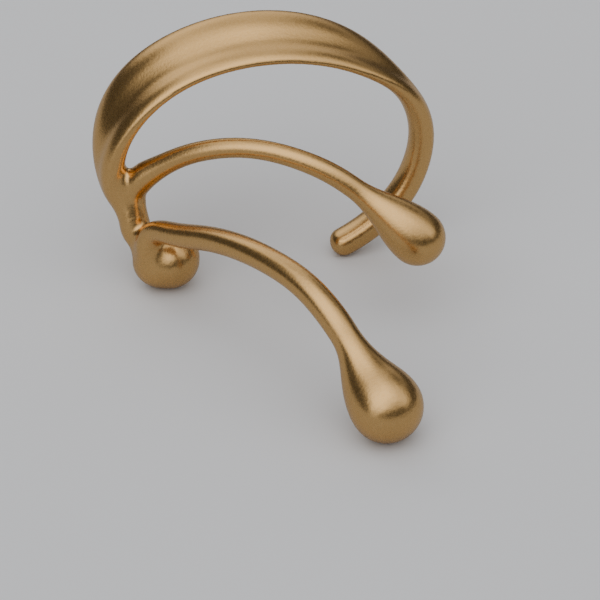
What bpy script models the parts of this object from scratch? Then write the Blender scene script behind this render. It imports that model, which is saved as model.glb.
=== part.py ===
"""Ear cuff: one casting of four strands, in metres, +Z up.

The wide fluted band makes a C that opens downwards and stands on its free end. Two thin
arms grow forwards (towards -Y) out of the other side of the C, one after the other, and
each ends in a drop. The front arm stands on a short round foot, and its drop lies on the
surface. The strands run into each other at the side of the C and are one solid.
"""
import math

import bpy
import numpy as np
from mathutils import Vector

MM = 0.001
NAME = "ear_cuff"

# The C that goes round the ear, measured on the middle of the metal.
LOOP_WIDTH = 14.2 * MM
LOOP_HEIGHT = 10.45 * MM
BAND_WIDTH = 3.0 * MM
BAND_THICK = 0.95 * MM

# The middle arm, from the trunk that it grows out of to the drop that hangs free.
# A heading is in degrees, from +X towards -Y.
TRUNK_THICK = 1.5 * MM
MIDDLE_WIRE = 0.92 * MM
MIDDLE_SPAN = 13.1 * MM
MIDDLE_HEADING = 24.5
MIDDLE_CREST = 7.25 * MM
MIDDLE_DROP = 2.45 * MM
MIDDLE_DROP_HEIGHT = 3.9 * MM
MIDDLE_NECK = 3.5 * MM

# The front arm, from the round foot that it stands on to the drop that lies on the surface.
FOOT_THICK = 2.65 * MM
STEM_THICK = 1.6 * MM
FRONT_WIRE = 1.15 * MM
FRONT_SPAN = 15.3 * MM
FRONT_HEADING = 56.5
FRONT_CREST = 5.3 * MM
FRONT_DROP = 3.1 * MM
FRONT_NECK = 3.4 * MM

# The band, row by row from inside the trunk over the top to its free end.
# angle: degrees from the left side of the C. reach: share of the C's oval.
# forward, width and flare: shares of the band's width. The flare is how far the rear
# rim stands out past the front one. rear and front (thickness of the two rims) and
# flute (depth of the valley between them): shares of the band's thickness.
BAND_COLUMNS = ("angle", "reach", "forward", "width", "rear", "front", "flute", "flare")
BAND_ROWS = (
    (-24, 0.95, 0.36, 0.42, 1.25, 1.25, 0.00, 0.00),
    (-10, 0.97, 0.24, 0.62, 1.30, 1.35, 0.03, 0.04),
    (8, 0.98, 0.09, 0.86, 1.15, 1.25, 0.16, 0.16),
    (30, 0.99, 0.00, 1.00, 1.00, 0.95, 0.26, 0.26),
    (60, 1.01, -0.03, 1.02, 1.00, 0.74, 0.26, 0.28),
    (90, 1.015, -0.02, 1.00, 0.98, 0.68, 0.24, 0.27),
    (115, 1.00, 0.03, 0.92, 0.95, 0.70, 0.22, 0.20),
    (135, 0.98, 0.11, 0.74, 0.90, 0.75, 0.13, 0.09),
    (152, 0.975, 0.18, 0.50, 1.00, 0.90, 0.04, -0.02),
    (172, 0.97, 0.18, 0.45, 1.15, 1.12, 0.00, 0.00),
    (195, 0.97, 0.22, 0.45, 1.20, 1.18, 0.00, 0.00),
    (218, 0.99, 0.32, 0.46, 1.22, 1.20, 0.00, 0.00),
    (243, 1.01, 0.45, 0.44, 1.20, 1.20, 0.00, 0.00),
)

# The band's section. u runs from -1 at the front rim to 1 at the rear rim.
VALLEY_U = -0.25
VALLEY_SPREAD = 0.42
SECTION_SQUARENESS = 2.4

# The stretch of each arm that belongs to the side of the C, and the foot.
# across: share of half the C's width. forward: share of the band's width. up: share of
# the C's height, or None where the strand lies on the surface. thick: share of the
# trunk's, the foot's or the stem's thickness.
ROOT_COLUMNS = ("across", "forward", "up", "thick")
TRUNK_ROWS = (
    (-0.805, 0.64, 0.185, 0.88),
    (-0.848, 0.54, 0.255, 0.92),
    (-0.864, 0.45, 0.325, 0.95),
    (-0.864, 0.38, 0.395, 0.92),
)
FOOT_ROWS = (
    (-0.702, 0.776, None, 1.00),
    (-0.655, 0.804, None, 1.00),
)
STEM_ROWS = (
    (-0.705, 0.80, 0.100, 0.55),
    (-0.748, 0.86, 0.155, 0.85),
    (-0.785, 0.90, 0.207, 0.84),
)

# The free stretch of each arm lies in an upright plane, which meets the side of the C
# at a place with the same across and forward shares as above.
MIDDLE_PLANE = (-0.900, 0.33)
FRONT_PLANE = (-0.832, 0.73)

# span: share of the arm's span. up: share of the climb from the side of the C up to
# the crest (1.0), and after it of the fall to the drop. thick: share of the wire.
ARM_COLUMNS = ("span", "up", "thick")
MIDDLE_ROWS = (
    (0.050, 0.205, 1.42),
    (0.120, 0.470, 1.14),
    (0.200, 0.700, 1.00),
    (0.300, 0.886, 0.97),
    (0.450, 1.000, 0.95),
    (0.600, 0.933, 0.98),
    (0.720, 0.768, 1.02),
    (0.820, 0.528, 1.05),
    (0.910, 0.281, 1.05),
)
FRONT_ROWS = (
    (0.045, 0.190, 0.98),
    (0.150, 0.495, 0.92),
    (0.280, 0.740, 0.95),
    (0.420, 0.930, 0.98),
    (0.560, 1.000, 1.00),
    (0.680, 0.955, 1.04),
    (0.780, 0.781, 1.08),
    (0.860, 0.527, 1.08),
    (0.930, 0.223, 1.05),
)

# How finely the strands are cut into facets, and the share of a strand's length over
# which its direction is taken. A round strand has a ring at every step of its length.
BAND_STATIONS = 66
BAND_SIDES = 24
ARM_STEP = 0.29 * MM
ARM_SIDES = 18
END_RINGS = 5
CURVE_FINENESS = 40
DIRECTION_SHARE = 0.0025

GOLD = (0.45, 0.27, 0.10, 1.0)
GOLD_ROUGHNESS = 0.32
SHARP_ANGLE = 50


def smooth_through(knots, values):
    """A natural cubic spline through rows of values, as a function of its knot."""
    t = np.array(knots, float)
    y = np.array(values, float)
    h = np.diff(t)
    count = len(t)
    matrix = np.eye(count)
    right = np.zeros_like(y)
    for i in range(1, count - 1):
        matrix[i, i - 1:i + 2] = h[i - 1], 2 * (h[i - 1] + h[i]), h[i]
        right[i] = 6 * ((y[i + 1] - y[i]) / h[i] - (y[i] - y[i - 1]) / h[i - 1])
    bend = np.linalg.solve(matrix, right)

    def at(knot):
        i = int(np.clip(np.searchsorted(t, knot) - 1, 0, count - 2))
        before, after, step = knot - t[i], t[i + 1] - knot, h[i]
        cubic = (bend[i] * after ** 3 + bend[i + 1] * before ** 3) / (6 * step)
        start = (y[i] / step - bend[i] * step / 6) * after
        return cubic + start + (y[i + 1] / step - bend[i + 1] * step / 6) * before

    return at


class Path:
    """A smooth line through rows (x, y, z, other columns), walked by its length."""

    def __init__(self, rows):
        rows = np.array(rows, float)
        chords = np.linalg.norm(np.diff(rows[:, :3], axis=0), axis=1)
        knots = np.concatenate(([0.0], np.cumsum(chords)))
        curve = smooth_through(knots, rows)
        count = CURVE_FINENESS * len(rows)
        self.table = np.array([curve(t) for t in np.linspace(0.0, knots[-1], count)])
        runs = np.linalg.norm(np.diff(self.table[:, :3], axis=0), axis=1)
        self.lengths = np.concatenate(([0.0], np.cumsum(runs)))
        self.length = float(self.lengths[-1])

    def row(self, s):
        return [float(np.interp(s, self.lengths, column)) for column in self.table.T]

    def direction(self, s):
        step = self.length * DIRECTION_SHARE
        middle = float(np.clip(s, step, self.length - step))
        ahead, behind = self.row(middle + step), self.row(middle - step)
        return (Vector(ahead[:3]) - Vector(behind[:3])).normalized()

    def point(self, s):
        """The point at a distance, which runs straight on past the first and last rows."""
        inside = float(np.clip(s, 0.0, self.length))
        return Vector(self.row(inside)[:3]) + self.direction(s) * (s - inside)


def stations(length, count, first, last):
    """Distances along a strand: even between its end rows, and closer over its round ends."""
    turn = [math.cos(math.pi / 2 * k / END_RINGS) for k in range(1, END_RINGS)]
    start, end = [-first * k for k in turn], [length + last * k for k in reversed(turn)]
    return start + list(np.linspace(0.0, length, count)) + end


def round_end(past, radius):
    """Share of the full section at a distance past the middle of a round end."""
    return math.sqrt(max(0.0, 1 - (max(0.0, past) / radius) ** 2))


def section_axes(direction, reference):
    """The two axes of a section: near the reference, and square to it and to the strand."""
    out = direction.cross(reference).normalized()
    return out.cross(direction).normalized(), out


def loft(name, rings, poles):
    """A closed mesh object through rings of points, with a pole at each end."""
    sides = len(rings[0])
    points = [p for ring in rings for p in ring] + list(poles)
    start, end, last = len(points) - 2, len(points) - 1, (len(rings) - 1) * sides
    faces = []
    for k in range(sides):
        after = (k + 1) % sides
        faces.append((start, after, k))
        faces.append((end, last + k, last + after))
        for low in range(0, last, sides):
            faces.append((low + k, low + after, low + sides + after, low + sides + k))
    mesh = bpy.data.meshes.new(name)
    mesh.from_pydata(points, [], faces)
    mesh.update()
    return bpy.data.objects.new(name, mesh)


def oval_point(angle, reach):
    """A point of the C's oval, seen along Y, from the oval's own centre."""
    turn = math.radians(angle)
    return -math.cos(turn) * reach * LOOP_WIDTH / 2, math.sin(turn) * reach * LOOP_HEIGHT / 2


def band_section(width, rear, front, flute, flare):
    """Points of the band's section: across from the front rim to the rear, and outwards."""
    points = []
    for k in range(BAND_SIDES):
        turn = 2 * math.pi * k / BAND_SIDES
        c, s = math.cos(turn), math.sin(turn)
        u = math.copysign(abs(c) ** (2 / SECTION_SQUARENESS), c)
        v = math.copysign(abs(s) ** (2 / SECTION_SQUARENESS), s)
        thick = front * (1 - u) / 2 + rear * (1 + u) / 2
        hollow = flute * math.exp(-((u - VALLEY_U) / VALLEY_SPREAD) ** 2) * max(0.0, v)
        points.append((u * width / 2, v * thick / 2 + flare * u / 2 - hollow))
    return points


def make_band():
    """The wide fluted strand: its free end stands on the surface, the other is in the trunk."""
    tip = dict(zip(BAND_COLUMNS, BAND_ROWS[-1]))
    tip_radius = tip["rear"] * BAND_THICK / 2
    centre_height = tip_radius - oval_point(tip["angle"], tip["reach"])[1]
    between = smooth_through([row[0] for row in BAND_ROWS], [row[1:] for row in BAND_ROWS])
    rows = []
    for angle in np.linspace(BAND_ROWS[0][0], tip["angle"], BAND_STATIONS):
        reach, forward, width, rear, front, flute, flare = between(angle)
        x, z = oval_point(angle, reach)
        across_sizes = np.array((width, flare)) * BAND_WIDTH
        through_sizes = np.array((rear, front, flute)) * BAND_THICK
        rows.append((x, -forward * BAND_WIDTH, centre_height + z, *across_sizes, *through_sizes))
    path = Path(rows)
    inner = BAND_THICK / 2
    rings = []
    for s in stations(path.length, BAND_STATIONS, inner, tip_radius):
        share = round_end(-s, inner) * round_end(s - path.length, tip_radius)
        across, out = section_axes(path.direction(s), Vector((0, 1, 0)))
        centre = path.point(s)
        width, flare, rear, front, flute = path.row(s)[3:]
        section = band_section(width, rear, front, flute, flare)
        rings.append([centre + (across * u + out * v) * share for u, v in section])
    return loft("band", rings, (path.point(-inner), path.point(path.length + tip_radius)))


def side_point(across, forward, up):
    """A place on the side of the C, from its shares."""
    return Vector((across * LOOP_WIDTH / 2, -forward * BAND_WIDTH, up * LOOP_HEIGHT))


def drop_radius(behind, drop, wire, neck):
    """Radius of a drop and its neck at a distance behind the middle of its bulb."""
    if behind <= 0:
        return math.sqrt(max(0.0, (drop / 2) ** 2 - behind ** 2))
    if behind >= neck:
        return wire / 2
    return wire / 2 + (drop - wire) / 2 * math.cos(math.pi / 2 * behind / neck) ** 2


def side_rows(root_rows, root_thick):
    """Rows (x, y, z, thickness) of the middle line of a strand on the side of the C."""
    rows = []
    for values in root_rows:
        root = dict(zip(ROOT_COLUMNS, values))
        spot = side_point(root["across"], root["forward"], root["up"] or 0.0)
        thick = root_thick * root["thick"]
        rows.append((spot.x, spot.y, thick / 2 if root["up"] is None else spot.z, thick))
    return rows


def arm_rows(rows, plane, free_rows, wire, span, heading, crest, drop_height):
    """The rows of an arm's root, and after them those of its free stretch and its bulb."""
    root_height = rows[-1][2]
    start = side_point(*plane, 0.0)
    ahead = Vector((math.cos(heading), -math.sin(heading), 0))
    free = [dict(zip(ARM_COLUMNS, values)) for values in free_rows]
    crest_at = max(free, key=lambda row: row["up"])["span"]
    rows = list(rows)
    for row in free:
        spot = start + ahead * row["span"] * span
        base = root_height if row["span"] < crest_at else drop_height
        height = base + row["up"] * (crest - base)
        rows.append((spot.x, spot.y, height, wire * row["thick"]))
    bulb = start + ahead * span
    rows.append((bulb.x, bulb.y, drop_height, wire))
    return rows


def make_arm(name, rows, heading, drop, neck):
    """A round strand along its rows, with a round foot and a drop at its end."""
    path = Path(rows)
    foot = rows[0][3] / 2
    beside = Vector((math.sin(heading), math.cos(heading), 0))
    rings = []
    for s in stations(path.length, 1 + math.ceil(path.length / ARM_STEP), foot, drop / 2):
        centre = path.point(s)
        across, out = section_axes(path.direction(s), beside)
        radius = drop_radius(path.length - s, drop, path.row(s)[3], neck) * round_end(-s, foot)
        ring = []
        for k in range(ARM_SIDES):
            turn = 2 * math.pi * k / ARM_SIDES
            ring.append(centre + (across * math.cos(turn) + out * math.sin(turn)) * radius)
        rings.append(ring)
    return loft(name, rings, (path.point(-foot), path.point(path.length + drop / 2)))


def make_middle_arm():
    heading = math.radians(MIDDLE_HEADING)
    rows = arm_rows(
        side_rows(TRUNK_ROWS, TRUNK_THICK), MIDDLE_PLANE, MIDDLE_ROWS, MIDDLE_WIRE,
        MIDDLE_SPAN, heading, MIDDLE_CREST, MIDDLE_DROP_HEIGHT,
    )
    return make_arm("middle_arm", rows, heading, MIDDLE_DROP, MIDDLE_NECK)


def make_front_arm():
    heading = math.radians(FRONT_HEADING)
    rows = arm_rows(
        side_rows(STEM_ROWS, STEM_THICK), FRONT_PLANE, FRONT_ROWS, FRONT_WIRE, FRONT_SPAN,
        heading, FRONT_CREST, FRONT_DROP / 2,
    )
    return make_arm("front_arm", rows, heading, FRONT_DROP, FRONT_NECK)


def make_foot():
    """The short thick strand under the front arm, with the same round end at both ends."""
    rows = side_rows(FOOT_ROWS, FOOT_THICK)
    return make_arm("foot", rows, 0.0, rows[-1][3], 0.0)


def join(body, others):
    """Unite the other strands with the body, so that one closed solid is left."""
    for other in others:
        union = body.modifiers.new(other.name, "BOOLEAN")
        union.operation = "UNION"
        union.solver = "EXACT"
        union.object = other
    bpy.context.view_layer.update()
    joined = body.evaluated_get(bpy.context.evaluated_depsgraph_get())
    mesh = bpy.data.meshes.new_from_object(joined)
    body.modifiers.clear()
    body.data = mesh
    for other in others:
        bpy.data.objects.remove(other, do_unlink=True)


def stand_on_origin(body):
    """Put the middle of the underside of the object's box at the origin."""
    points = np.array([vertex.co for vertex in body.data.vertices])
    low, high = points.min(axis=0), points.max(axis=0)
    shift = Vector((-(low[0] + high[0]) / 2, -(low[1] + high[1]) / 2, -low[2]))
    for vertex in body.data.vertices:
        vertex.co += shift
    return shift


def satin_gold():
    material = bpy.data.materials.new("satin_gold")
    material.use_nodes = True
    shader = material.node_tree.nodes["Principled BSDF"]
    shader.inputs["Base Color"].default_value = GOLD
    shader.inputs["Metallic"].default_value = 1.0
    shader.inputs["Roughness"].default_value = GOLD_ROUGHNESS
    return material


def main():
    for old in list(bpy.data.objects):
        bpy.data.objects.remove(old, do_unlink=True)
    collection = bpy.data.collections.new(NAME)
    bpy.context.scene.collection.children.link(collection)
    strands = (make_band(), make_middle_arm(), make_front_arm(), make_foot())
    for strand in strands:
        collection.objects.link(strand)
    body = strands[0]
    join(body, strands[1:])
    shift = stand_on_origin(body)
    body.name = body.data.name = NAME
    body.data.materials.append(satin_gold())
    body.data.shade_smooth()
    body.data.set_sharp_from_angle(angle=math.radians(SHARP_ANGLE))
    return body, shift


if __name__ == "__main__":
    main()
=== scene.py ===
"""A cast ear cuff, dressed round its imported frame, with a stage for it.

The cuff is one casting, so it is one piece here too. Its four strands (the band, the
middle arm, the front arm and the foot) are swept on their own, joined, fused into one
skin and smoothed where they run into each other.
"""
import math

import bmesh
import bpy
import numpy as np
from bpy.props import FloatProperty, FloatVectorProperty, IntProperty, PointerProperty
from bpy.types import Operator, Panel, PropertyGroup
from mathutils import Matrix, Vector
from mathutils.bvhtree import BVHTree


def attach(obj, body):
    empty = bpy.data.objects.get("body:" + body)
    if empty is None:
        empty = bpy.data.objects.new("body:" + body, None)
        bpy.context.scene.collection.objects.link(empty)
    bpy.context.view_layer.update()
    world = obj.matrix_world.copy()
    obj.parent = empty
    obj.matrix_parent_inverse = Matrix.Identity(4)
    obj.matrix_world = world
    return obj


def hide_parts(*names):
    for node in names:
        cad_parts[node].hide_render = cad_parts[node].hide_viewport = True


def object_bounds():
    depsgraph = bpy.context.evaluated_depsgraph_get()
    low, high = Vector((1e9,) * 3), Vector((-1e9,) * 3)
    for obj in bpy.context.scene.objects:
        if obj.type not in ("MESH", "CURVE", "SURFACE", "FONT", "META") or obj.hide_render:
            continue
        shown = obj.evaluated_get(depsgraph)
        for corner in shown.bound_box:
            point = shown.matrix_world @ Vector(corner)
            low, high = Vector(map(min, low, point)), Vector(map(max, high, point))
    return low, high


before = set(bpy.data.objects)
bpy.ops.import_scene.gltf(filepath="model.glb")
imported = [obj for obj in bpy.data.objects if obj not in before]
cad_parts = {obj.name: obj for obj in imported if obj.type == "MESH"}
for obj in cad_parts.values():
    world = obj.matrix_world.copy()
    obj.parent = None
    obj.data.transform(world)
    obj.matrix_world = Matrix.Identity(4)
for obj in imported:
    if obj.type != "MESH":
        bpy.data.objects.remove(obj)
CAD_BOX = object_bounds()

bl_info = {
    "name": "Ear cuff with two drops",
    "version": (1, 0, 0),
    "blender": (4, 5, 0),
    "location": "3D View > Sidebar > Ear cuff",
    "description": "Models a cast ear cuff with a fluted band and two drops, and its stage",
    "category": "Object",
}

MM = 0.001
CAD_NODE = "ear_cuff"
PIECE = "ear_cuff_casting"
STRANDS = ("band_strand", "middle_strand", "front_strand", "foot_strand")

# The share of the way towards the middle of its neighbours that a point of the skin moves
# in one pass. The webs at the seams are rounded in steps, each over its share of the reach.
SMOOTHING = 0.5
SEAM_STEPS = (1.0, 0.75, 0.5)

# The band, row by row from inside the trunk over the top to its free end.
# angle: degrees from the left side of the C. reach: share of the C's oval.
# forward, width and flare: shares of the band's width. rear, front (thickness of the
# two rims) and flute (depth of the valley between them): shares of its thickness.
BAND_COLUMNS = ("angle", "reach", "forward", "width", "rear", "front", "flute", "flare")
BAND_ROWS = (
    (-24, 0.95, 0.36, 0.42, 1.25, 1.25, 0.00, 0.00),
    (-10, 0.97, 0.24, 0.62, 1.30, 1.35, 0.03, 0.04),
    (8, 0.98, 0.09, 0.86, 1.15, 1.25, 0.16, 0.16),
    (30, 0.99, 0.00, 1.00, 1.00, 0.95, 0.26, 0.26),
    (60, 1.01, -0.03, 1.02, 1.00, 0.74, 0.26, 0.28),
    (90, 1.015, -0.02, 1.00, 0.98, 0.68, 0.24, 0.27),
    (115, 1.00, 0.03, 0.92, 0.95, 0.70, 0.22, 0.20),
    (135, 0.98, 0.11, 0.74, 0.90, 0.75, 0.13, 0.09),
    (152, 0.975, 0.18, 0.50, 1.00, 0.90, 0.04, -0.02),
    (172, 0.97, 0.18, 0.45, 1.15, 1.12, 0.00, 0.00),
    (195, 0.97, 0.22, 0.45, 1.20, 1.18, 0.00, 0.00),
    (218, 0.99, 0.32, 0.46, 1.22, 1.20, 0.00, 0.00),
    (243, 1.01, 0.45, 0.44, 1.20, 1.20, 0.00, 0.00),
)

# The band's section. u runs from -1 at the front rim to 1 at the rear rim.
VALLEY_U = -0.25
VALLEY_SPREAD = 0.42
SECTION_SQUARENESS = 2.4

# The stretch of each arm that belongs to the side of the C, and the foot.
# across: share of half the C's width. forward: share of the band's width. up: share of
# the C's height, or None where the strand lies on the floor. thick: share of the root's
# or the foot's.
ROOT_COLUMNS = ("across", "forward", "up", "thick")
TRUNK_ROWS = (
    (-0.805, 0.64, 0.185, 0.88),
    (-0.848, 0.54, 0.255, 0.92),
    (-0.864, 0.45, 0.325, 0.95),
    (-0.864, 0.38, 0.395, 0.92),
)
FOOT_ROWS = (
    (-0.702, 0.776, None, 1.00),
    (-0.655, 0.804, None, 1.00),
)
STEM_ROWS = (
    (-0.705, 0.80, 0.100, 0.55),
    (-0.748, 0.86, 0.155, 0.85),
    (-0.785, 0.90, 0.207, 0.84),
)

# Where the upright plane of each arm's free stretch meets the side of the C.
MIDDLE_PLANE = (-0.900, 0.33)
FRONT_PLANE = (-0.832, 0.73)

# span: share of the arm's span. up: share of the climb to the crest (1.0), and after it
# of the fall to the drop. thick: share of the wire.
ARM_COLUMNS = ("span", "up", "thick")
MIDDLE_ROWS = (
    (0.050, 0.205, 1.42),
    (0.120, 0.470, 1.14),
    (0.200, 0.700, 1.00),
    (0.300, 0.886, 0.97),
    (0.450, 1.000, 0.95),
    (0.600, 0.933, 0.98),
    (0.720, 0.768, 1.02),
    (0.820, 0.528, 1.05),
    (0.910, 0.281, 1.05),
)
FRONT_ROWS = (
    (0.045, 0.190, 0.98),
    (0.150, 0.495, 0.92),
    (0.280, 0.740, 0.95),
    (0.420, 0.930, 0.98),
    (0.560, 1.000, 1.00),
    (0.680, 0.955, 1.04),
    (0.780, 0.781, 1.08),
    (0.860, 0.527, 1.08),
    (0.930, 0.223, 1.05),
)

# How finely the strands are swept. The band's table is read at its knots, and the band has
# a ring at each station. A round strand has a ring at every step of its length.
BAND_KNOTS = 75
BAND_STATIONS = 150
BAND_SIDES = 48
ARM_STEP = 0.14 * MM
ARM_SIDES = 36
END_RINGS = 9
CURVE_FINENESS = 40
DIRECTION_SHARE = 0.0025


def length(name, description, millimetres):
    """A size in the sidebar, kept in metres."""
    return FloatProperty(
        name=name, description=description, default=millimetres * MM, unit="LENGTH", precision=5)


def colour(name, description, code):
    """A colour in the sidebar, from its sRGB hex code."""
    return FloatVectorProperty(
        name=name, description=description, default=linear(code), size=3,
        subtype="COLOR", min=0.0, max=1.0)


def linear(code):
    """The linear values of an sRGB hex colour."""
    shares = [int(code[i:i + 2], 16) / 255 for i in (1, 3, 5)]
    return [s / 12.92 if s <= 0.04045 else ((s + 0.055) / 1.055) ** 2.4 for s in shares]


class EarCuffBand(PropertyGroup):
    """Sizes of the wide fluted strand that makes the C."""
    loop_width: length("Loop width", "Width of the C, on the middle of the metal", 14.2)
    loop_height: length("Loop height", "Height of the C's oval, on the middle of the metal", 10.45)
    width: length("Band width", "Width of the band over the top of the C", 3.0)
    thickness: length("Band thickness", "Thickness of the band at its rear rim", 0.95)


class EarCuffArm(PropertyGroup):
    """Sizes of one arm and the drop at its end. The defaults are the middle arm's."""
    root: length("Root", "Thickness where the arm belongs to the side of the C", 1.5)
    wire: length("Wire", "Thickness of the arm's free stretch", 0.92)
    span: length("Span", "Reach of the arm over the floor", 13.1)
    heading: FloatProperty(
        name="Heading", description="Turn of the arm from the C's own plane to the front",
        default=math.radians(24.5), subtype="ANGLE")
    crest: length("Crest", "Height of the arm's highest point, on the middle of the metal", 7.25)
    drop: length("Drop", "Diameter of the drop's bulb", 2.45)
    drop_height: length("Drop height", "Height of the middle of the bulb", 3.9)
    neck: length("Neck", "Length over which the wire swells into the bulb", 3.5)


class EarCuffCasting(PropertyGroup):
    """How the strands are fused into one skin, and its finish."""
    voxel: length("Skin facet", "Size of the facets of the fused skin", 0.074)
    skin_passes: IntProperty(
        name="Skin passes", description="Passes that even out the fused skin", default=6, min=0)
    seam_reach: length("Seam reach", "How far from a seam the metal is rounded into a web", 0.52)
    seam_passes: IntProperty(
        name="Seam passes", description="Passes that round the webs, at each step towards the seam",
        default=25, min=0)
    gold: colour("Gold", "Colour of the plated metal", "#ecc182")
    gold_deep: colour("Deep gold", "Colour of the metal in its grain", "#dbac6a")
    roughness: FloatProperty(
        name="Roughness", description="How far the satin finish spreads a reflection",
        default=0.27, min=0.0, max=1.0)


class EarCuffStage(PropertyGroup):
    """Colours and lights of the stage."""
    floor: colour("Floor", "Colour of the floor", "#eaebee")
    # The card is painted shade: the floor as the metal sees it, darker than the floor itself.
    card: colour("Card", "Colour of the card under the cuff, seen in the metal alone", "#bababa")
    tent: FloatProperty(
        name="Tent", description="Strength of the light from all round", default=1.22, min=0.0)


class EarCuffSizes(PropertyGroup):
    """All that a user would change."""
    foot: length("Foot", "Thickness of the round foot under the front arm", 2.65)
    band: PointerProperty(type=EarCuffBand)
    middle: PointerProperty(type=EarCuffArm)
    front: PointerProperty(type=EarCuffArm)
    casting: PointerProperty(type=EarCuffCasting)
    stage: PointerProperty(type=EarCuffStage)


# The front arm's own sizes, in millimetres, and its heading in degrees.
FRONT_SIZES = {
    "root": 1.6, "wire": 1.15, "span": 15.3, "crest": 5.3, "drop": 3.1, "drop_height": 1.55,
    "neck": 3.4,
}
FRONT_HEADING = 56.5


def smooth_through(knots, values):
    """A natural cubic spline through rows of values, as a function of its knot."""
    t = np.array(knots, float)
    y = np.array(values, float)
    h = np.diff(t)
    count = len(t)
    matrix = np.eye(count)
    right = np.zeros_like(y)
    for i in range(1, count - 1):
        matrix[i, i - 1:i + 2] = h[i - 1], 2 * (h[i - 1] + h[i]), h[i]
        right[i] = 6 * ((y[i + 1] - y[i]) / h[i] - (y[i] - y[i - 1]) / h[i - 1])
    bend = np.linalg.solve(matrix, right)

    def at(knot):
        i = int(np.clip(np.searchsorted(t, knot) - 1, 0, count - 2))
        before, after, step = knot - t[i], t[i + 1] - knot, h[i]
        cubic = (bend[i] * after ** 3 + bend[i + 1] * before ** 3) / (6 * step)
        start = (y[i] / step - bend[i] * step / 6) * after
        return cubic + start + (y[i + 1] / step - bend[i + 1] * step / 6) * before

    return at


class Route:
    """A smooth line through rows (x, y, z, other columns), walked by its length."""

    def __init__(self, rows):
        rows = np.array(rows, float)
        chords = np.linalg.norm(np.diff(rows[:, :3], axis=0), axis=1)
        knots = np.concatenate(([0.0], np.cumsum(chords)))
        curve = smooth_through(knots, rows)
        count = CURVE_FINENESS * len(rows)
        self.table = np.array([curve(t) for t in np.linspace(0.0, knots[-1], count)])
        runs = np.linalg.norm(np.diff(self.table[:, :3], axis=0), axis=1)
        self.lengths = np.concatenate(([0.0], np.cumsum(runs)))
        self.length = float(self.lengths[-1])

    def row(self, s):
        """All columns at a distance along the line."""
        return [float(np.interp(s, self.lengths, column)) for column in self.table.T]

    def direction(self, s):
        """The way that the line runs at a distance."""
        step = self.length * DIRECTION_SHARE
        middle = float(np.clip(s, step, self.length - step))
        ahead, behind = self.row(middle + step), self.row(middle - step)
        return (Vector(ahead[:3]) - Vector(behind[:3])).normalized()

    def point(self, s):
        """The point at a distance, which runs straight on past the first and last rows."""
        inside = float(np.clip(s, 0.0, self.length))
        return Vector(self.row(inside)[:3]) + self.direction(s) * (s - inside)


def stations(run, count, first, last):
    """Distances along a strand: even between its end rows, and closer over its round ends."""
    turn = [math.cos(math.pi / 2 * k / END_RINGS) for k in range(1, END_RINGS)]
    start, end = [-first * k for k in turn], [run + last * k for k in reversed(turn)]
    return start + list(np.linspace(0.0, run, count)) + end


def round_end(past, radius):
    """Share of the full section at a distance past the middle of a round end."""
    return math.sqrt(max(0.0, 1 - (max(0.0, past) / radius) ** 2))


def section_axes(direction, reference):
    """The two axes of a section: near the reference, and square to it and to the strand."""
    out = direction.cross(reference).normalized()
    return out.cross(direction).normalized(), out


def sweep(name, rings):
    """A closed strand: a circle in the first ring's place, extruded from ring to ring."""
    bpy.ops.object.select_all(action="DESELECT")
    bpy.ops.mesh.primitive_circle_add(vertices=len(rings[0]), radius=MM)
    strand = bpy.context.object
    strand.name = strand.data.name = name
    bpy.ops.object.mode_set(mode="EDIT")
    bpy.ops.mesh.select_all(action="SELECT")
    form = bmesh.from_edit_mesh(strand.data)
    line = list(form.verts)
    for i, ring in enumerate(rings):
        if i:
            bpy.ops.mesh.extrude_region_move()
            form = bmesh.from_edit_mesh(strand.data)
            line = [
                next(e.other_vert(v) for e in v.link_edges if e.other_vert(v).select)
                for v in line]
        for vertex, place in zip(line, ring):
            vertex.co = place
    bpy.ops.mesh.select_all(action="DESELECT")
    bpy.ops.mesh.select_mode(type="EDGE")
    bpy.ops.mesh.select_non_manifold()
    bpy.ops.mesh.edge_face_add()
    bpy.ops.mesh.select_all(action="SELECT")
    bpy.ops.mesh.normals_make_consistent(inside=False)
    bpy.ops.object.mode_set(mode="OBJECT")
    return strand


def oval_point(angle, reach, sizes):
    """A point of the C's oval, seen along Y, from the oval's own centre."""
    turn = math.radians(angle)
    x = -math.cos(turn) * reach * sizes.loop_width / 2
    return x, math.sin(turn) * reach * sizes.loop_height / 2


def band_section(width, rear, front, flute, flare):
    """Points of the band's section: across from the front rim to the rear, and outwards."""
    points = []
    for k in range(BAND_SIDES):
        turn = 2 * math.pi * k / BAND_SIDES
        c, s = math.cos(turn), math.sin(turn)
        u = math.copysign(abs(c) ** (2 / SECTION_SQUARENESS), c)
        v = math.copysign(abs(s) ** (2 / SECTION_SQUARENESS), s)
        thick = front * (1 - u) / 2 + rear * (1 + u) / 2
        hollow = flute * math.exp(-((u - VALLEY_U) / VALLEY_SPREAD) ** 2) * max(0.0, v)
        points.append((u * width / 2, v * thick / 2 + flare * u / 2 - hollow))
    return points


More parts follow.
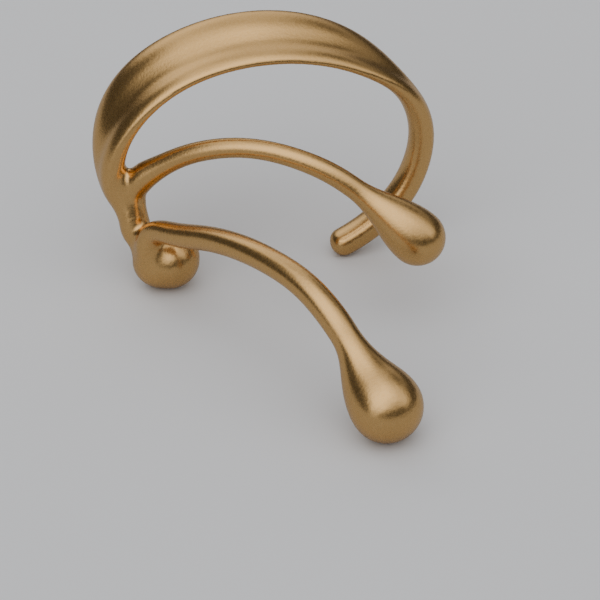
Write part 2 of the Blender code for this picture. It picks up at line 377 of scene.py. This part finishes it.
def model_band(sizes):
    """The wide fluted strand: its free end stands on the floor, the other is in the trunk."""
    tip = dict(zip(BAND_COLUMNS, BAND_ROWS[-1]))
    tip_radius = tip["rear"] * sizes.thickness / 2
    centre_height = tip_radius - oval_point(tip["angle"], tip["reach"], sizes)[1]
    between = smooth_through([row[0] for row in BAND_ROWS], [row[1:] for row in BAND_ROWS])
    rows = []
    for angle in np.linspace(BAND_ROWS[0][0], tip["angle"], BAND_KNOTS):
        reach, forward, width, rear, front, flute, flare = between(angle)
        x, z = oval_point(angle, reach, sizes)
        across_sizes = np.array((width, flare)) * sizes.width
        through_sizes = np.array((rear, front, flute)) * sizes.thickness
        rows.append((x, -forward * sizes.width, centre_height + z, *across_sizes, *through_sizes))
    route = Route(rows)
    inner = sizes.thickness / 2
    rings = []
    for s in stations(route.length, BAND_STATIONS, inner, tip_radius):
        share = round_end(-s, inner) * round_end(s - route.length, tip_radius)
        across, out = section_axes(route.direction(s), Vector((0, 1, 0)))
        centre = route.point(s)
        width, flare, rear, front, flute = route.row(s)[3:]
        section = band_section(width, rear, front, flute, flare)
        rings.append([centre + (across * u + out * v) * share for u, v in section])
    return sweep("band_strand", rings)


def drop_radius(behind, drop, wire, neck):
    """Radius of a drop and its neck at a distance behind the middle of its bulb."""
    if behind <= 0:
        return math.sqrt(max(0.0, (drop / 2) ** 2 - behind ** 2))
    if behind >= neck:
        return wire / 2
    return wire / 2 + (drop - wire) / 2 * math.cos(math.pi / 2 * behind / neck) ** 2


def side_rows(root_rows, root_thick, band):
    """Rows (x, y, z, thickness) of the middle line of a strand on the side of the C."""
    rows = []
    for values in root_rows:
        root = dict(zip(ROOT_COLUMNS, values))
        thick = root_thick * root["thick"]
        x, y = root["across"] * band.loop_width / 2, -root["forward"] * band.width
        height = thick / 2 if root["up"] is None else root["up"] * band.loop_height
        rows.append((x, y, height, thick))
    return rows


def arm_rows(rows, plane, free_rows, band, sizes):
    """The rows of an arm's root, and after them those of its free stretch and its bulb."""
    root_height = rows[-1][2]
    start = Vector((plane[0] * band.loop_width / 2, -plane[1] * band.width, 0))
    ahead = Vector((math.cos(sizes.heading), -math.sin(sizes.heading), 0))
    free = [dict(zip(ARM_COLUMNS, values)) for values in free_rows]
    crest_at = max(free, key=lambda row: row["up"])["span"]
    rows = list(rows)
    for row in free:
        spot = start + ahead * row["span"] * sizes.span
        base = root_height if row["span"] < crest_at else sizes.drop_height
        height = base + row["up"] * (sizes.crest - base)
        rows.append((spot.x, spot.y, height, sizes.wire * row["thick"]))
    bulb = start + ahead * sizes.span
    rows.append((bulb.x, bulb.y, sizes.drop_height, sizes.wire))
    return rows


def model_arm(name, rows, heading, drop, neck):
    """A round strand along its rows, with a round foot and a drop at its end."""
    route = Route(rows)
    foot = rows[0][3] / 2
    beside = Vector((math.sin(heading), math.cos(heading), 0))
    rings = []
    for s in stations(route.length, 1 + math.ceil(route.length / ARM_STEP), foot, drop / 2):
        centre = route.point(s)
        across, out = section_axes(route.direction(s), beside)
        radius = drop_radius(route.length - s, drop, route.row(s)[3], neck) * round_end(-s, foot)
        turns = [2 * math.pi * k / ARM_SIDES for k in range(ARM_SIDES)]
        rings.append([centre + (across * math.cos(t) + out * math.sin(t)) * radius for t in turns])
    return sweep(name, rings)


def modify(piece, kind, **settings):
    """Add a modifier with its settings and apply it."""
    modifier = piece.modifiers.new(kind.lower(), kind)
    for key, value in settings.items():
        setattr(modifier, key, value)
    with bpy.context.temp_override(object=piece, active_object=piece):
        bpy.ops.object.modifier_apply(modifier=modifier.name)


def round_seams(piece, trees, reach, passes):
    """Smooth, in edit mode, the skin that is near the surfaces of two strands."""
    form = bmesh.from_edit_mesh(piece.data)
    for vertex in form.verts:
        near = sum(tree.find_nearest(vertex.co, reach)[0] is not None for tree in trees)
        vertex.select = near > 1
    form.select_flush_mode()
    bmesh.update_edit_mesh(piece.data)
    bpy.ops.mesh.vertices_smooth(factor=SMOOTHING, repeat=passes)


def add_node(tree, kind, settings=(), **links):
    """Add a node with its settings, and link or set its inputs by name, or by number as i0."""
    node = tree.nodes.new(kind)
    for key, value in dict(settings).items():
        setattr(node, key, value)
    for key, value in links.items():
        numbered = key[0] == "i" and key[1:].isdigit()
        socket = node.inputs[int(key[1:]) if numbered else key]
        if isinstance(value, bpy.types.NodeSocket):
            tree.links.new(value, socket)
        else:
            socket.default_value = value
    return node


# The satin's grain. Fine grit leaves marks of some hundredths of a millimetre, too fine to
# show here, so the grain is drawn coarser, at nine to the millimetre. It varies the depth
# of the surface, its colour, and its roughness by this much up and down.
GRAINS_PER_MM = 9
GRAIN_DETAIL = 3.0
GRAIN_DEPTH = 0.02 * MM
GRAIN_STRENGTH = 0.25
GRAIN_ROUGHNESS = 0.05


def satin_gold(casting):
    """Gold plate on cast brass, satin from fine grit: soft broad reflections, faint grain."""
    material = bpy.data.materials.new("satin_gold_plate")
    material.use_nodes = True
    tree = material.node_tree
    shader = tree.nodes["Principled BSDF"]
    shader.inputs["Metallic"].default_value = 1.0
    place = add_node(tree, "ShaderNodeTexCoord").outputs["Object"]
    grain = add_node(
        tree, "ShaderNodeTexNoise", Vector=place, Scale=GRAINS_PER_MM / MM, Detail=GRAIN_DETAIL)
    tone = add_node(
        tree, "ShaderNodeMix", {"data_type": "RGBA"}, i0=grain.outputs["Fac"],
        i6=(*casting.gold_deep, 1.0), i7=(*casting.gold, 1.0))
    tree.links.new(tone.outputs[2], shader.inputs["Base Color"])
    rough = add_node(
        tree, "ShaderNodeMapRange", Value=grain.outputs["Fac"],
        i3=casting.roughness - GRAIN_ROUGHNESS, i4=casting.roughness + GRAIN_ROUGHNESS)
    tree.links.new(rough.outputs[0], shader.inputs["Roughness"])
    bump = add_node(
        tree, "ShaderNodeBump", Strength=GRAIN_STRENGTH, Distance=GRAIN_DEPTH,
        Height=grain.outputs["Fac"])
    tree.links.new(bump.outputs[0], shader.inputs["Normal"])
    return material


class EARCUFF_OT_band(Operator):
    """Sweep the wide fluted strand that makes the C"""
    bl_idname = "ear_cuff.band"
    bl_label = "Band strand"

    def execute(self, context):
        model_band(context.scene.ear_cuff.band)
        return {"FINISHED"}


class EARCUFF_OT_arms(Operator):
    """Sweep the two round arms with their drops"""
    bl_idname = "ear_cuff.arms"
    bl_label = "Arm strands"

    def execute(self, context):
        sizes = context.scene.ear_cuff
        for name, roots, plane, free, arm in (
                ("middle_strand", TRUNK_ROWS, MIDDLE_PLANE, MIDDLE_ROWS, sizes.middle),
                ("front_strand", STEM_ROWS, FRONT_PLANE, FRONT_ROWS, sizes.front)):
            rows = arm_rows(side_rows(roots, arm.root, sizes.band), plane, free, sizes.band, arm)
            model_arm(name, rows, arm.heading, arm.drop, arm.neck)
        return {"FINISHED"}


class EARCUFF_OT_foot(Operator):
    """Sweep the short thick foot, which has the same round end at both ends"""
    bl_idname = "ear_cuff.foot"
    bl_label = "Foot strand"

    def execute(self, context):
        sizes = context.scene.ear_cuff
        rows = side_rows(FOOT_ROWS, sizes.foot, sizes.band)
        model_arm("foot_strand", rows, 0.0, rows[-1][3], 0.0)
        return {"FINISHED"}


class EARCUFF_OT_casting(Operator):
    """Fuse the strands into one casting and finish it in satin gold"""
    bl_idname = "ear_cuff.casting"
    bl_label = "Casting"

    def execute(self, context):
        casting = context.scene.ear_cuff.casting
        strands = [bpy.data.objects[name] for name in STRANDS]
        low = Vector([min(v.co[i] for s in strands for v in s.data.vertices) for i in range(3)])
        shift = CAD_BOX[0] - low
        graph = context.evaluated_depsgraph_get()
        for strand in strands:
            strand.data.transform(Matrix.Translation(shift))
        graph.update()
        trees = [BVHTree.FromObject(strand, graph) for strand in strands]
        bpy.ops.object.select_all(action="DESELECT")
        for strand in strands:
            strand.select_set(True)
        context.view_layer.objects.active = piece = strands[0]
        bpy.ops.object.join()
        piece.name = piece.data.name = PIECE
        modify(piece, "REMESH", mode="VOXEL", voxel_size=casting.voxel, use_smooth_shade=True)
        modify(piece, "SMOOTH", factor=SMOOTHING, iterations=casting.skin_passes)
        bpy.ops.object.mode_set(mode="EDIT")
        bpy.ops.mesh.select_mode(type="VERT")
        for share in SEAM_STEPS:
            round_seams(piece, trees, casting.seam_reach * share, casting.seam_passes)
        bpy.ops.object.mode_set(mode="OBJECT")
        bpy.ops.object.shade_smooth()
        piece.data.materials.append(satin_gold(casting))
        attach(piece, "root")
        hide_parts(CAD_NODE)
        return {"FINISHED"}


# The camera, found by matching the outlines: the point that it looks at, its distance
# and its place round and above that point.
LOOK_AT = Vector((0.166, -0.866, 2.597)) * MM
CAMERA_DISTANCE = 150 * MM
CAMERA_AZIMUTH = math.radians(-10)
CAMERA_ELEVATION = math.radians(35)
CAMERA_NEAR = 10 * MM
LENS = 212.4

# The light tent. azimuth: degrees from behind the cuff (+Y) round to its right (+X).
# elevation: degrees above the floor. A patch adds its gain to the tent's even 1.0. It is
# full out to its core and gone past its edge, both in degrees from its middle.
PATCH_COLUMNS = ("azimuth", "elevation", "core", "edge", "gain")
TENT_PATCHES = (
    (-135, 58, 15, 60, 0.35),
    (-128, 8, 6, 24, 0.45),
    (-80, 16, 16, 44, -1.05),
    (-62, 62, 8, 34, -0.45),
    (62, 24, 12, 40, -0.50),
    (25, 56, 10, 34, -0.36),
    (85, 50, 12, 45, -0.30),
    (163, 24, 14, 38, -0.50),
)
TENT_WHITE = "#ffffff"

# The elevations between which the light rises from the dark horizon to the even 1.0, and
# the least that is left of it anywhere.
TENT_HORIZON = (4, 36)
TENT_DIM = 0.05

# The floor, and the round sheet on it that only the metal's reflections see. The sheet is painted
# shade: a floor darker than the real one, for the metal to reflect in its place.
FLOOR_SIZE = 2000 * MM
SHADE_IN_METAL_RADIUS = 200 * MM
SHADE_IN_METAL_SIDES = 96
SHADE_IN_METAL_MIDDLE = Vector((0, 0, 0.01)) * MM
PAPER_ROUGHNESS = 0.95
PAPER_GLOSS = 0.1


def facing(place, target):
    """Euler angles that turn a camera at a place towards a target."""
    return (target - place).to_track_quat("-Z", "Y").to_euler()


def around(azimuth, elevation, distance):
    """A place at a distance from the point that the camera looks at."""
    flat = math.cos(elevation)
    back = Vector((math.sin(azimuth) * flat, -math.cos(azimuth) * flat, math.sin(elevation)))
    return LOOK_AT + back * distance


def matt_card(name, tone):
    """Matt paper card: even in colour, and without gloss."""
    material = bpy.data.materials.new(name)
    material.use_nodes = True
    shader = material.node_tree.nodes["Principled BSDF"]
    shader.inputs["Base Color"].default_value = (*tone, 1.0)
    shader.inputs["Roughness"].default_value = PAPER_ROUGHNESS
    shader.inputs["Specular IOR Level"].default_value = PAPER_GLOSS
    return material


def soft_patch(tree, way, patch):
    """A node socket that is a patch's gain inside its core and falls to nothing at its edge."""
    turn, rise = math.radians(patch["azimuth"]), math.radians(patch["elevation"])
    middle = (math.sin(turn) * math.cos(rise), math.cos(turn) * math.cos(rise), math.sin(rise))
    near = add_node(
        tree, "ShaderNodeVectorMath", {"operation": "DOT_PRODUCT"}, i0=way, i1=middle)
    fall = add_node(
        tree, "ShaderNodeMapRange", {"interpolation_type": "SMOOTHSTEP"},
        Value=near.outputs["Value"], i1=math.cos(math.radians(patch["edge"])),
        i2=math.cos(math.radians(patch["core"])), i3=0.0, i4=patch["gain"])
    return fall.outputs[0]


def light_all_round(scene, strength):
    """A soft tent of light: even white, with dim and bright patches, and dark at the horizon."""
    world = bpy.data.worlds.new("light_tent")
    scene.world = world
    world.use_nodes = True
    tree = world.node_tree
    tree.nodes.clear()
    way = add_node(tree, "ShaderNodeTexCoord").outputs["Generated"]
    height = add_node(tree, "ShaderNodeSeparateXYZ", Vector=way).outputs["Z"]
    low, high = (math.sin(math.radians(angle)) for angle in TENT_HORIZON)
    level = add_node(
        tree, "ShaderNodeMapRange", {"interpolation_type": "SMOOTHSTEP"},
        Value=height, i1=low, i2=high, i3=0.0, i4=1.0).outputs[0]
    for values in TENT_PATCHES:
        gain = soft_patch(tree, way, dict(zip(PATCH_COLUMNS, values)))
        level = add_node(tree, "ShaderNodeMath", {"operation": "ADD"}, i0=level, i1=gain).outputs[0]
    level = add_node(
        tree, "ShaderNodeMath", {"operation": "MAXIMUM"}, i0=level, i1=TENT_DIM).outputs[0]
    power = add_node(tree, "ShaderNodeMath", {"operation": "MULTIPLY"}, i0=level, i1=strength)
    tent = add_node(
        tree, "ShaderNodeBackground", Color=(*linear(TENT_WHITE), 1.0), Strength=power.outputs[0])
    out = add_node(tree, "ShaderNodeOutputWorld")
    tree.links.new(tent.outputs[0], out.inputs["Surface"])


def finish_card(name, tone):
    """Name the new floor, or the darker floor of painted shade that only the metal sees, and give
    it its paper.
    """
    card = bpy.context.object
    card.name = card.data.name = name
    card.data.materials.append(matt_card(name + "_paper", tone))
    return card


class EARCUFF_OT_stage(Operator):
    """Set the floor, the light tent and the camera"""
    bl_idname = "ear_cuff.stage"
    bl_label = "Stage"

    def execute(self, context):
        stage = context.scene.ear_cuff.stage
        bpy.ops.object.select_all(action="DESELECT")
        bpy.ops.mesh.primitive_plane_add(size=FLOOR_SIZE, location=(0, 0, 0))
        finish_card("floor", stage.floor).visible_glossy = False
        bpy.ops.mesh.primitive_circle_add(
            vertices=SHADE_IN_METAL_SIDES, radius=SHADE_IN_METAL_RADIUS, fill_type="NGON",
            location=SHADE_IN_METAL_MIDDLE)
        # Painted shade in the metal: a darker floor that only reflections see. The camera, bounced
        # light and shadows pass it by.
        card = finish_card("grey_card", stage.card)
        card.visible_camera = card.visible_diffuse = card.visible_shadow = False
        light_all_round(context.scene, stage.tent)
        eye = around(CAMERA_AZIMUTH, CAMERA_ELEVATION, CAMERA_DISTANCE)
        bpy.ops.object.camera_add(location=eye, rotation=facing(eye, LOOK_AT))
        camera = context.object
        camera.data.lens = LENS
        camera.data.clip_start = CAMERA_NEAR
        context.scene.camera = camera
        return {"FINISHED"}


class EARCUFF_PT_sidebar(Panel):
    """The cuff's sizes and steps, in the sidebar"""
    bl_idname = "EARCUFF_PT_sidebar"
    bl_label = "Ear cuff"
    bl_space_type = "VIEW_3D"
    bl_region_type = "UI"
    bl_category = "Ear cuff"

    def draw(self, context):
        sizes = context.scene.ear_cuff
        self.layout.prop(sizes, "foot")
        for group in (sizes.band, sizes.middle, sizes.front, sizes.casting, sizes.stage):
            box = self.layout.box()
            for key in group.__annotations__:
                box.prop(group, key)
        for step in STEPS:
            self.layout.operator(step.bl_idname)


GROUPS = (EarCuffBand, EarCuffArm, EarCuffCasting, EarCuffStage, EarCuffSizes)
STEPS = (
    EARCUFF_OT_band, EARCUFF_OT_arms, EARCUFF_OT_foot, EARCUFF_OT_casting, EARCUFF_OT_stage)
CLASSES = (*GROUPS, *STEPS, EARCUFF_PT_sidebar)


def register():
    """Make the sizes, the steps and the sidebar known."""
    for each in CLASSES:
        bpy.utils.register_class(each)
    bpy.types.Scene.ear_cuff = PointerProperty(type=EarCuffSizes)


def unregister():
    """Take them away again."""
    del bpy.types.Scene.ear_cuff
    for each in reversed(CLASSES):
        bpy.utils.unregister_class(each)


def main():
    """Model the cuff and its stage."""
    register()
    front = bpy.context.scene.ear_cuff.front
    for key, value in FRONT_SIZES.items():
        setattr(front, key, value * MM)
    front.heading = math.radians(FRONT_HEADING)
    bpy.ops.ear_cuff.band()
    bpy.ops.ear_cuff.arms()
    bpy.ops.ear_cuff.foot()
    bpy.ops.ear_cuff.casting()
    bpy.ops.ear_cuff.stage()


if __name__ == "__main__":
    main()
